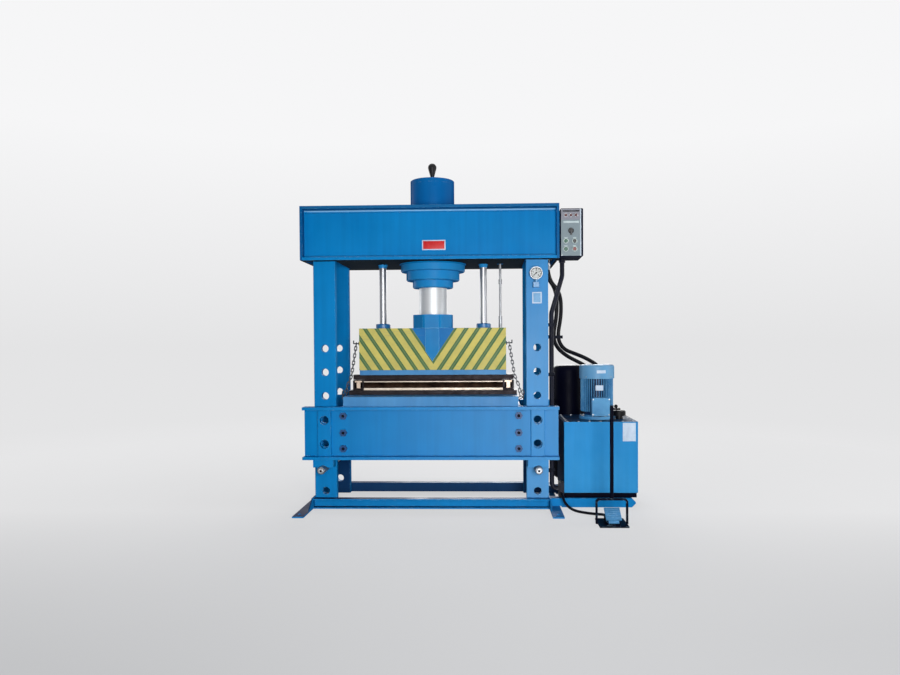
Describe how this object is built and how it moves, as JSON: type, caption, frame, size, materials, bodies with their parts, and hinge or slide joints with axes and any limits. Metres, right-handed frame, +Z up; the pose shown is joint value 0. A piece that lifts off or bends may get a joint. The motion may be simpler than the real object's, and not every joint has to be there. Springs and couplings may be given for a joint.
{
  "type": "hydraulic press",
  "caption": "Workshop hydraulic press brake: pinned H-frame, vertical cylinder over a striped ram beam, bending tools on the table, side power unit, hoses, control box and foot pedal.",
  "frame": {"origin": "floor level under the ram axis, at the centre of the four anchor holes in the feet", "axes": "+Z up along the ram, +X to the operator's right where the power unit stands, +Y to the rear; the operator stands on the -Y side"},
  "size_m": [2.297, 1.417, 2.421],
  "materials": {
    "frame_blue": "semi-gloss",
    "cylinder_blue": "gloss",
    "plate_blue": "satin",
    "stripe_paint": "satin, yellow and green chevrons",
    "motor_blue": "semi-gloss",
    "chrome": "hard chrome",
    "ground_steel": "ground",
    "dark_steel": "oiled",
    "chain_steel": "dull",
    "zinc": "zinc plated",
    "black_paint": "gloss",
    "black_rubber": "matt",
    "fan_plastic": "matt",
    "box_grey": "textured",
    "lamp_plastic": "gloss",
    "button_green": "gloss",
    "button_red": "gloss",
    "button_black": "gloss",
    "dial_white": "matt"
  },
  "bodies": {
    "frame": {"uprights_front": "frame_blue", "uprights_rear": "frame_blue", "head_front_channel": "frame_blue", "head_rear_channel": "frame_blue", "head_end_plates": "frame_blue", "head_core": "frame_blue", "base_frame": "frame_blue", "cylinder_barrel": "cylinder_blue", "cylinder_cap": "cylinder_blue", "gland_nut": "cylinder_blue", "air_breather": "black_rubber", "guide_bushes": "cylinder_blue", "table_front_channel": "frame_blue", "table_rear_channel": "frame_blue", "table_ties": "frame_blue", "table_bolts": "frame_blue", "bed_plate": "plate_blue", "table_pins": "ground_steel", "die_base": "dark_steel", "die_block": "ground_steel", "die_brackets": "dark_steel", "die_lugs": "ground_steel", "control_box": "box_grey", "panel_lamps": "lamp_plastic", "gauge_case": "ground_steel", "gauge_dial": "dial_white", "oil_tank": "frame_blue", "tank_skid": "frame_blue", "motor_body": "motor_blue", "motor_cowl": "motor_blue", "filler_cap": "fan_plastic", "accumulator": "black_paint", "accumulator_holder": "zinc", "valve_block": "dark_steel", "hose_fittings": "zinc", "line_brackets": "zinc", "hose_pressure": "black_rubber", "hose_return": "black_rubber", "cable_conduit": "fan_plastic", "pedal_base": "black_paint", "pedal_guard": "black_paint", "pedal_cable": "black_rubber"},
    "ram": {"piston_rod": "chrome", "ram_nose": "cylinder_blue", "upper_beam": "stripe_paint", "clamp_plate": "plate_blue", "punch": "dark_steel", "guide_rods": "ground_steel", "limit_rod": "ground_steel", "chain_hooks": "black_paint", "lift_chains": "chain_steel"},
    "start_button": {"button_start": "button_green"},
    "stop_button": {"button_stop": "button_red"},
    "down_button": {"button_down": "button_black"},
    "up_button": {"button_up": "button_green"},
    "mode_switch": {"selector": "button_black"},
    "needle": {"gauge_pointer": "black_paint"},
    "rotor": {"motor_fan": "fan_plastic"},
    "tread": {"pedal_tread": "frame_blue"}
  },
  "joints": [
    {"name": "ram_slide", "type": "slide", "parent": "frame", "child": "ram", "axis": [0, 0, 1], "range_m": [0, 0.185]},
    {"name": "start_push", "type": "slide", "parent": "frame", "child": "start_button", "axis": [0, 1, 0], "range_m": [0, 0.005], "stiffness_N_per_m": 400, "springref_m": -0.002},
    {"name": "stop_push", "type": "slide", "parent": "frame", "child": "stop_button", "axis": [0, 1, 0], "range_m": [0, 0.005], "stiffness_N_per_m": 400, "springref_m": -0.002},
    {"name": "down_push", "type": "slide", "parent": "frame", "child": "down_button", "axis": [0, 1, 0], "range_m": [0, 0.005], "stiffness_N_per_m": 400, "springref_m": -0.002},
    {"name": "up_push", "type": "slide", "parent": "frame", "child": "up_button", "axis": [0, 1, 0], "range_m": [0, 0.005], "stiffness_N_per_m": 400, "springref_m": -0.002},
    {"name": "mode_turn", "type": "hinge", "parent": "frame", "child": "mode_switch", "pos_m": [0.953, -0.351, 1.877], "axis": [0, -1, 0], "range_deg": [-45, 45]},
    {"name": "needle_turn", "type": "hinge", "parent": "frame", "child": "needle", "pos_m": [0.723, -0.315, 1.6], "axis": [0, 1, 0], "range_deg": [0, 260], "stiffness_Nm_per_rad": 0.004, "springref_deg": -5.73},
    {"name": "rotor_spin", "type": "hinge", "parent": "frame", "child": "rotor", "pos_m": [1.171, -0.015, 0.9], "axis": [0, 0, 1], "continuous": true},
    {"name": "tread_press", "type": "hinge", "parent": "frame", "child": "tread", "pos_m": [1.161, -0.786, 0.026], "axis": [-1, 0, 0], "range_deg": [0, 10], "stiffness_Nm_per_rad": 20, "springref_deg": -6.88}
  ]
}
